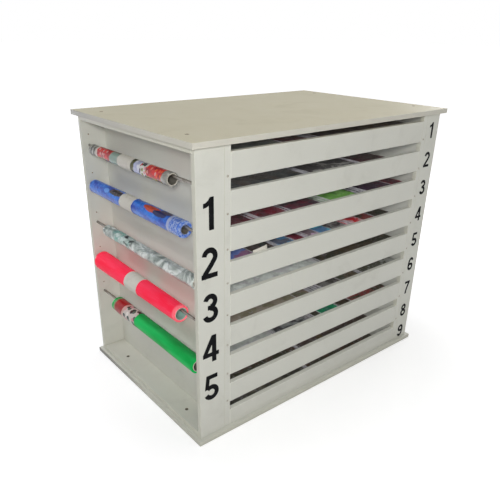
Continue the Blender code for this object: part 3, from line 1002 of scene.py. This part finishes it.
# Clear bags: whitish, raised to near white as painted light for the shaded gaps between piles.
CLEAR_WITH_PAINTED_LIGHT = ((252, 252, 250), (240, 238, 244), 0.03)
MAUVE = ((140, 80, 98), (106, 76, 86), 0.25)
SLATE = ((112, 118, 118), (100, 100, 108), 0.25)
UMBER = ((124, 118, 120), (146, 122, 108), 0.25)
EMBER = ((104, 60, 64), (82, 68, 60), 0.30)
TAN = ((138, 128, 112), (120, 112, 98), 0.15)
# Darker copy of GLINT; its pale second tint is a painted glint.
DIM_GLINT = ((84, 84, 76), (146, 146, 142), 0.30)
LOAM = ((120, 116, 96), (140, 124, 104), 0.30)
# Darker copy of GLINT; its pale second tint is a painted glint.
PALE_GLINT = ((94, 96, 90), (172, 172, 170), 0.30)
# Pale plied bag edges: the bags' whitish edges, brightened further as painted light where little light
# reaches the sides.
BAG_EDGE_WITH_PAINTED_LIGHT = srgb(236, 234, 238)

# Each tier's piles from the bottom tier up: start and end as shares of the hall between the
# partitions, the top as a share of the lip's height, and the finish
PILES = (
    ((0.006, 0.430, 0.90, DARK), (0.448, 0.870, 0.86, COCOA)),
    ((0.006, 0.374, 0.88, COCOA), (0.392, 0.815, 0.90, COCOA)),
    ((0.006, 0.240, 0.94, ASH), (0.252, 0.420, 0.86, GLINT), (0.458, 0.500, 0.92, COCOA),
     (0.500, 0.605, 0.92, TEAL), (0.605, 0.680, 0.92, COCOA), (0.690, 0.930, 0.84, RUST)),
    ((0.006, 0.355, 0.90, BROWN), (0.355, 0.430, 0.90, TAN), (0.490, 0.600, 0.94, DIM_GLINT),
     (0.612, 0.725, 0.84, LOAM), (0.738, 0.972, 0.88, PALE_GLINT)),
    ((0.006, 0.470, 0.94, PEARL), (0.486, 0.935, 0.84, COCOA)),
    ((0.006, 0.135, 0.92, LILAC), (0.145, 0.245, 0.84, DARK), (0.252, 0.330, 0.92, HAZE),
     (0.342, 0.394, 0.82, RED), (0.402, 0.452, 0.94, LAVENDER), (0.462, 0.530, 0.90, SKY),
     (0.540, 0.630, 0.80, GLINT), (0.638, 0.708, 0.95, BRIGHT_RED), (0.716, 0.790, 0.86, RUST),
     (0.800, 0.900, 0.80, COCOA)),
    ((0.006, 0.142, 0.86, MAROON), (0.163, 0.287, 0.92, RED), (0.314, 0.468, 0.84, PLUM),
     (0.500, 0.650, 0.94, LIME), (0.722, 0.880, 0.86, PLUM), (0.880, 0.960, 0.86, RED)),
    ((0.006, 0.365, 0.90, SMOKE), (0.405, 0.650, 0.84, GLINT), (0.672, 0.825, 0.88, EMBER)),
    ((0.006, 0.270, 0.88, SLATE), (0.270, 0.390, 0.88, MAUVE), (0.448, 0.960, 0.84, UMBER)),
)
FOOT_SHARE = 0.22
DEPTH_SHARES = (0.62, 0.58, 0.55, 0.60, 0.66, 0.34, 0.50, 0.56, 0.64)

# Millimetres: the hall's two sides, and the piles' front and the depth that their shares are of
HALL = (95, 925)
PILE_FRONT = 18.3
PILE_DEPTH = 614.4

# Millimetres: a mesh cell across and back, a ply, the sides' raggedness, the width of the clear
# bags and of the least rest that is a bag of its own, the same of a bundle's thickness, and how
# far a bundle may lie askew at its sides, front and back
CELL_ACROSS = 14
CELL_BACK = 16
PLY = 1.6
RAG = 0.9
CLEAR_WIDTH = (150, 240)
CLEAR_LEAST = 90
BUNDLE_THICK = (5.0, 9.5)
BUNDLE_LEAST = 3
ASKEW_SIDE = 3.5
ASKEW_FRONT = 4
ASKEW_BACK = 14


def add_bundle(shape, layers, low, high, tints, draw):
    """A bundle of flat bags in the body's millimetres: soft top, ragged plied sides."""
    wide, deep, thick = (b - a for a, b in zip(low, high))
    across = max(6, int(wide / CELL_ACROSS))
    back = max(8, int(deep / CELL_BACK))
    levels = max(2, int(thick / PLY))
    seed = draw.uniform(0, 90)
    wave = min(1.3, thick * 0.22)
    corners = {}

    def vertex(column, row, level):
        key = (column, row, level)
        if key in corners:
            return corners[key]
        x = low[0] + wide * column / across
        y = low[1] + deep * row / back
        side = min(column, across - column) / across * wide
        end = min(row, back - row) / back * deep
        share = level / levels
        rag = noise.noise(Vector((x * 0.05, y * 0.05, level * 2.7 + seed))) * RAG
        if column in (0, across):
            x += rag if column else -rag
            x -= (1 if column else -1) * RAG
        if row in (0, back):
            y += rag if row else -rag
            y -= (1 if row else -1) * RAG
        droop = math.exp(-min(side, end) / 5.0) * min(0.9, thick * 0.2)
        ripple = noise.noise(Vector((x * 0.021, y * 0.017, seed))) * wave
        ripple += noise.noise(Vector((x * 0.07, y * 0.05, seed + 9))) * wave * 0.35
        z = low[2] + thick * share + (ripple - wave * 0.7 - droop) * share
        corners[key] = shape.verts.new(at(x, y, z))
        return corners[key]

    def quad(colours, *keys):
        face = shape.faces.new([vertex(*key) for key in keys])
        for loop in face.loops:
            for layer, colour in zip(layers, colours):
                loop[layer] = colour

    # Sides take mostly the pale edge colour, partly painted light, with a low metallic share.
    sides = [(*(c * 0.2 + e * 0.8 for c, e in zip(tint[:3], BAG_EDGE_WITH_PAINTED_LIGHT)), 0.15) for tint in tints]
    for column in range(across):
        for row in range(back):
            for level in (0, levels):
                quad(tints, (column, row, level), (column + 1, row, level),
                     (column + 1, row + 1, level), (column, row + 1, level))
    for level in range(levels):
        for column in range(across):
            for row in (0, back):
                quad(sides, (column, row, level), (column + 1, row, level),
                     (column + 1, row, level + 1), (column, row, level + 1))
        for row in range(back):
            for column in (0, across):
                quad(sides, (column, row, level), (column, row + 1, level),
                     (column, row + 1, level + 1), (column, row, level + 1))


def tinted(finish, draw):
    """A bundle's two linear tints, varied a little, with the pile's metallic share."""
    spread = draw.uniform(0.88, 1.12)
    tints = []
    for colour in finish[:2]:
        channels = [min(255, channel * spread + draw.uniform(-5, 5)) for channel in colour]
        tints.append((*srgb(*(max(4, channel) for channel in channels))[:3], finish[2]))
    return tints


def add_foot(shape, layers, first, last, front, back, floor, top, draw):
    """The layer of clear bags under a tier's piles, from one place along the hall to another."""
    while first < last - 1:
        step = min(last - first, draw.uniform(*CLEAR_WIDTH))
        if last - first - step < CLEAR_LEAST:
            step = last - first
        low = (first, front, floor)
        add_bundle(shape, layers, low, (first + step, back, top), tinted(CLEAR_WITH_PAINTED_LIGHT, draw), draw)
        first += step


def add_pile(shape, layers, left, right, back, base, top, finish, draw):
    """One pile of bundles that lie a little askew on each other."""
    while base < top - 0.5:
        thick = min(top - base, draw.uniform(*BUNDLE_THICK))
        if top - base - thick < BUNDLE_LEAST:
            thick = top - base
        low = (left + draw.uniform(0, ASKEW_SIDE), PILE_FRONT + draw.uniform(0, ASKEW_FRONT), base)
        high = (right - draw.uniform(0, ASKEW_SIDE), back - draw.uniform(0, ASKEW_BACK), base + thick)
        add_bundle(shape, layers, low, high, tinted(finish, draw), draw)
        base += thick


def build_bags():
    """Piles of flat bags on every tier, over a layer of clear bags that lies across the tier."""
    left = HALL[0]
    hall = HALL[1] - left
    for tier, piles in enumerate(PILES, 1):
        draw = random.Random(100 + tier)
        floor = FLOORS[tier] + 0.3
        rise = LIP_TOPS[tier] - FLOORS[tier]
        foot = floor + FOOT_SHARE * rise
        back = PILE_FRONT + DEPTH_SHARES[tier - 1] * PILE_DEPTH
        shape = bmesh.new()
        layers = [shape.loops.layers.float_color.new(name) for name in ("tint", "print")]
        first = left + piles[0][0] * hall
        last = left + piles[-1][1] * hall
        add_foot(shape, layers, first, last, PILE_FRONT, back, floor, foot, draw)
        for start, end, height, finish in piles:
            span = (left + start * hall, left + end * hall)
            add_pile(shape, layers, *span, back, foot, floor + height * rise, finish, draw)
        name = f"bags_tier_{tier}"
        piece(name, shape, "carcass", (BAG,), [f"bag_stacks_{tier}"], smooth=35)


# Millimetres: the card's two faces behind the rack's front, and how far its corner curls back
CARD_FACES = (15.5, 15.9)
CARD_CURL = 1.1


def build_card():
    """Blank paper card that stands askew behind the sixth lip."""
    top = LIP_TOPS[6]
    corners = ((203.6, top - 30), (255.3, top - 23.6), (250.6, top + 11.8), (199.2, top + 6))
    shape = bmesh.new()
    steps = 10
    faces = []
    for depth in CARD_FACES:
        grid = []
        for row in range(steps + 1):
            line = []
            for column in range(steps + 1):
                across, up = column / steps, row / steps
                left = [a + (b - a) * up for a, b in zip(corners[0], corners[3])]
                right = [a + (b - a) * up for a, b in zip(corners[1], corners[2])]
                x, z = (a + (b - a) * across for a, b in zip(left, right))
                line.append(shape.verts.new(at(x, depth + CARD_CURL * across * across * up, z)))
            grid.append(line)
        faces.append(grid)
    for back, grid in enumerate(faces):
        for row in range(steps):
            lower, upper = grid[row], grid[row + 1]
            for column in range(steps):
                after = column + 1
                corner = [lower[column], lower[after], upper[after], upper[column]]
                shape.faces.new(corner if back else corner[::-1])
    rim = [(0, c) for c in range(steps)] + [(r, steps) for r in range(steps)]
    rim += [(steps, c) for c in range(steps, 0, -1)] + [(r, 0) for r in range(steps, 0, -1)]
    for first, second in zip(rim, rim[1:] + rim[:1]):
        a, b = (faces[0][r][c] for r, c in (first, second))
        c, d = (faces[1][r][c] for r, c in (second, first))
        shape.faces.new((a, b, c, d))
    piece("blank_card", shape, "carcass", (BAND,), smooth=40)


# Numerals: outlines in shares of the numeral's height, with x from its middle


def arc(middle_x, middle_y, radius_x, radius_y, first, last, steps=28):
    """Points of an elliptic arc from one angle in degrees to another."""
    points = []
    for step in range(steps + 1):
        angle = math.radians(first + (last - first) * step / steps)
        points.append((middle_x + radius_x * math.cos(angle), middle_y + radius_y * math.sin(angle)))
    return points


def stroke(points, half):
    """Outline of a flat-ended line of that half width along the points."""
    left, right = [], []
    for index, (x, y) in enumerate(points):
        before = points[max(index - 1, 0)]
        after = points[min(index + 1, len(points) - 1)]
        run = Vector((after[0] - before[0], after[1] - before[1])).normalized()
        left.append((x - run.y * half, y + run.x * half))
        right.append((x + run.y * half, y - run.x * half))
    return left + right[::-1]


def ring_of(middle_x, middle_y, radius_x, radius_y, half):
    """A closed ring as two strokes that overlap a little."""
    turns = [arc(middle_x, middle_y, radius_x, radius_y, first, first + 182) for first in (0, 180)]
    return [stroke(turn, half) for turn in turns]


def block(left, low, right, high):
    """Outline of an upright rectangle."""
    return [(left, low), (right, low), (right, high), (left, high)]


HALF = 0.088
SIX = [stroke(arc(0.035, 0.44, 0.245, 0.472, 196, 40), HALF), *ring_of(0, 0.293, 0.205, 0.205, HALF)]
DIGITS = {
    "1": [
        [(0.17, 0), (0.17, 1), (0.03, 1), (-0.03, 0.91), (-0.12, 0.85), (-0.21, 0.83),
         (-0.21, 0.69), (-0.09, 0.71), (-0.01, 0.75), (-0.01, 0)],
    ],
    "2": [
        stroke(arc(0, 0.705, 0.205, 0.207, 172, -28) + [(0.06, 0.44), (-0.17, 0.17), (-0.24, 0.02)], HALF),
        block(-0.31, 0, 0.29, 0.165),
    ],
    "3": [
        stroke(arc(0, 0.73, 0.185, 0.182, 165, -90), HALF),
        stroke(arc(0, 0.29, 0.21, 0.202, 90, -165), HALF),
        block(-0.10, 0.44, 0.02, 0.60),
    ],
    "4": [
        block(0.04, 0, 0.215, 1),
        block(-0.32, 0.21, 0.32, 0.365),
        [(-0.32, 0.34), (-0.14, 0.34), (0.09, 0.74), (0.09, 1), (0.03, 1)],
    ],
    "5": [
        block(-0.20, 0.835, 0.25, 1),
        [(-0.27, 0.44), (-0.11, 0.46), (-0.06, 0.9), (-0.20, 1)],
        stroke(arc(0, 0.30, 0.215, 0.212, 138, -160), HALF),
    ],
    "6": SIX,
    "7": [
        block(-0.28, 0.83, 0.29, 1),
        stroke([(0.215, 0.90), (0.13, 0.72), (0.02, 0.46), (-0.05, 0.22), (-0.08, 0.0)], HALF),
    ],
    "8": [*ring_of(0, 0.735, 0.178, 0.178, HALF), *ring_of(0, 0.292, 0.212, 0.205, HALF)],
    "9": [[(-x, 1 - y) for x, y in outline] for outline in SIX],
}

# Millimetres
LEFT_NUMERAL_X = 40
LEFT_NUMERAL_HEIGHTS = (691, 559, 427.5, 299, 170)
LEFT_NUMERAL_SIZE = 86
RIGHT_NUMERAL_X = 962
RIGHT_NUMERAL_SIZE = 52
VINYL_THICK = 0.22


def add_numeral(shape, digit, x, z, tall):
    """Thin plate in the digit's form, its middle at that place of the front."""
    flat = []
    faces = []
    for outline in DIGITS[digit]:
        area = sum(a[0] * b[1] - b[0] * a[1] for a, b in zip(outline, outline[1:] + outline[:1]))
        if area < 0:
            outline = outline[::-1]
        faces.append(list(range(len(flat), len(flat) + len(outline))))
        flat.extend(Vector(point) for point in outline)
    points, _, triangles, _, _, sources = delaunay_2d_cdt(flat, [], faces, 1, 1e-5, True)
    rows = []
    for depth in (0.0, -VINYL_THICK):
        places = [at(x + px * tall, depth, z + (py - 0.5) * tall) for px, py in points]
        rows.append([shape.verts.new(place) for place in places])
    edges = {}
    for face in (face for face, source in zip(triangles, sources) if source):
        shape.faces.new([rows[1][v] for v in face])
        shape.faces.new([rows[0][v] for v in reversed(face)])
        for a, b in zip(face, face[1:] + face[:1]):
            edges[a, b] = True
    for a, b in edges:
        if (b, a) not in edges:
            shape.faces.new((rows[0][a], rows[0][b], rows[1][b], rows[1][a]))
    loose = [v for v in shape.verts if not v.link_faces]
    bmesh.ops.delete(shape, geom=loose, context="VERTS")


def build_numerals():
    """Plain sticker numerals: the rolls' on the left stile, the tiers' on the right one."""
    jobs = []
    for number, middle in enumerate(LEFT_NUMERAL_HEIGHTS, 1):
        jobs.append(("left", number, LEFT_NUMERAL_X, middle, LEFT_NUMERAL_SIZE))
    for number, tier in enumerate(reversed(TIERS), 1):
        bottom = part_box(f"lip_{tier}")[0].z * 1000 - BOARD
        middle = (bottom + LIP_TOPS[tier]) / 2
        jobs.append(("right", number, RIGHT_NUMERAL_X, middle, RIGHT_NUMERAL_SIZE))
    for side, number, x, z, tall in jobs:
        shape = bmesh.new()
        add_numeral(shape, str(number), x, z, tall)
        piece(f"{side}_numeral_{number}", shape, "carcass", (VINYL,))


build_boards()
build_rods()
build_rolls()
build_bags()
build_card()
build_numerals()


# Stage, light and camera

# Surround's light, and the floor's own glow near the rack; metres over which it rises to 1
AMBIENT = 0.11
FLOOR_GLOW = 0.5
GLOW_REACH = (0.5, 1.6)
FLOOR_SIZE = 40
FLOOR_DROP = 0.0004

# The spot's soft rim as a share of its cone, and its size in metres
SPOT_RIM = 0.8
SPOT_SIZE = 0.25

# The camera's place in the body's millimetres, its azimuth, elevation and roll in degrees, and the
# focal length and optical centre in pixels of the square picture
CAMERA_PLACE = (-707.1, -1040.8, 1110.9)
CAMERA_ANGLES = (39.089, 25.133, 0.665)
PICTURE = 500
FOCAL_LENGTH = 540.30
OPTICAL_CENTRE = (239.22, 280.37)
SENSOR = 36


def seen_directly(nodes):
    """1 for camera, glossy and transmission rays."""
    rays = nodes.node("LightPath").outputs
    seen = nodes.math("MAXIMUM", rays["Is Camera Ray"], rays["Is Glossy Ray"])
    return nodes.math("MAXIMUM", seen, rays["Is Transmission Ray"])


def build_floor():
    """Pale floor that keeps a soft shadow and fades to white away from the rack."""
    shape = bmesh.new()
    bmesh.ops.create_grid(shape, x_segments=1, y_segments=1, size=FLOOR_SIZE)
    mesh = bpy.data.meshes.new("floor")
    shape.to_mesh(mesh)
    shape.free()
    floor = bpy.data.objects.new("floor", mesh)
    collection.objects.link(floor)
    floor.location.z = -FLOOR_DROP
    g = Graph("floor_white", (0.72, 0.72, 0.72, 1), 0.9, specular=0.0)
    place = g.node("NewGeometry").outputs["Position"]
    reach = g.node("VectorMath", {0: place}, operation="LENGTH").outputs["Value"]
    sockets = {"Value": reach, "From Min": GLOW_REACH[0], "From Max": GLOW_REACH[1]}
    sockets |= {"To Min": FLOOR_GLOW, "To Max": 1.0}
    rise = g.node("MapRange", sockets, interpolation_type="SMOOTHSTEP").outputs[0]
    glow = g.node("Emission", {"Strength": g.times(seen_directly(g), rise)})
    total = g.node("AddShader", {0: g.shader.outputs[0], 1: glow.outputs[0]})
    g.put(g.tree.nodes["Material Output"].inputs["Surface"], total.outputs[0])
    mesh.materials.append(g.material)


def build_surround():
    """White to the camera and in reflections, and a weak soft light otherwise."""
    world = bpy.data.worlds.new("surround")
    bpy.context.scene.world = world
    world.use_nodes = True
    w = Nodes(world.node_tree)
    plain = w.tree.nodes["Background"]
    w.put(plain.inputs["Color"], (1, 1, 1, 1))
    w.put(plain.inputs["Strength"], AMBIENT)
    white = w.node("Background", {"Color": (1, 1, 1, 1)})
    both = w.node("MixShader", {0: seen_directly(w), 1: plain.outputs[0], 2: white.outputs[0]})
    w.put(w.tree.nodes["World Output"].inputs["Surface"], both.outputs[0])


def place_lamp(data, place, target, power, colour):
    """Lamp at a place in metres, aimed at a target, with its power in watts."""
    data.energy = power
    data.color = colour
    lamp = bpy.data.objects.new(data.name, data)
    collection.objects.link(lamp)
    lamp.location = place
    lamp.rotation_euler = (Vector(target) - Vector(place)).to_track_quat("-Z", "Y").to_euler()


def area_light(name, place, target, size, power, colour=(1, 1, 1)):
    """Round soft lamp of that diameter in metres."""
    data = bpy.data.lights.new(name, "AREA")
    data.shape = "DISK"
    data.size = size
    place_lamp(data, place, target, power, colour)


def spot_light(name, place, target, angle, power, colour):
    """Spot lamp with a cone of that angle in degrees."""
    data = bpy.data.lights.new(name, "SPOT")
    data.spot_size = math.radians(angle)
    data.spot_blend = SPOT_RIM
    data.shadow_soft_size = SPOT_SIZE
    place_lamp(data, place, target, power, colour)


def build_lamps():
    """Soft studio lamps, and a spot into the left bay."""
    area_light("key", (-1.70, -1.90, 1.50), (-0.1, -0.1, 0.55), 0.4, 27)
    area_light("side", (-1.6, -1.7, 1.15), (-0.1, -0.1, 0.55), 0.7, 5.5)
    area_light("fill_right", (1.6, -2.6, 1.6), (0, 0, 0.4), 1.8, 12)
    area_light("fill_left", (-2.6, -0.3, 1.6), (-0.3, 0, 0.45), 1.2, 1.9)
    area_light("overhead", (0.25, 0.1, 2.8), (0.1, 0, 0.45), 1.5, 14)
    spot_light("bay_spot", (-1.4, 0.6, 1.9), (-0.47, 0.22, 0.03), 28, 40, (0.93, 0.98, 1.0))
    area_light("behind", (-0.5, 4.3, 0.52), (0.1, 0, 0.45), 1.0, 100, (0.86, 0.87, 1.0))
    area_light("right_side", (2.8, 0.5, 1.5), (0.4, 0, 0.45), 1.4, 16)


def build_camera():
    """Camera at the photograph's place; its principal point lies off the frame's middle."""
    azimuth, elevation, roll = (math.radians(angle) for angle in CAMERA_ANGLES)
    ahead = math.cos(elevation)
    forward = Vector((math.sin(azimuth) * ahead, math.cos(azimuth) * ahead, -math.sin(elevation)))
    level = Vector((math.cos(azimuth), -math.sin(azimuth), 0))
    upright = level.cross(forward)
    right = level * math.cos(roll) + upright * math.sin(roll)
    up = upright * math.cos(roll) - level * math.sin(roll)
    data = bpy.data.cameras.new("camera")
    data.sensor_width = SENSOR
    data.lens = FOCAL_LENGTH / PICTURE * SENSOR
    data.shift_x = (PICTURE / 2 - OPTICAL_CENTRE[0]) / PICTURE
    data.shift_y = (OPTICAL_CENTRE[1] - PICTURE / 2) / PICTURE
    camera = bpy.data.objects.new("camera", data)
    collection.objects.link(camera)
    turn = Matrix((right, up, -forward)).transposed().to_4x4()
    camera.matrix_world = Matrix.Translation(at(*CAMERA_PLACE)) @ turn
    bpy.context.scene.camera = camera


build_floor()
build_surround()
build_lamps()
build_camera()
bpy.context.scene.view_settings.view_transform = "Standard"
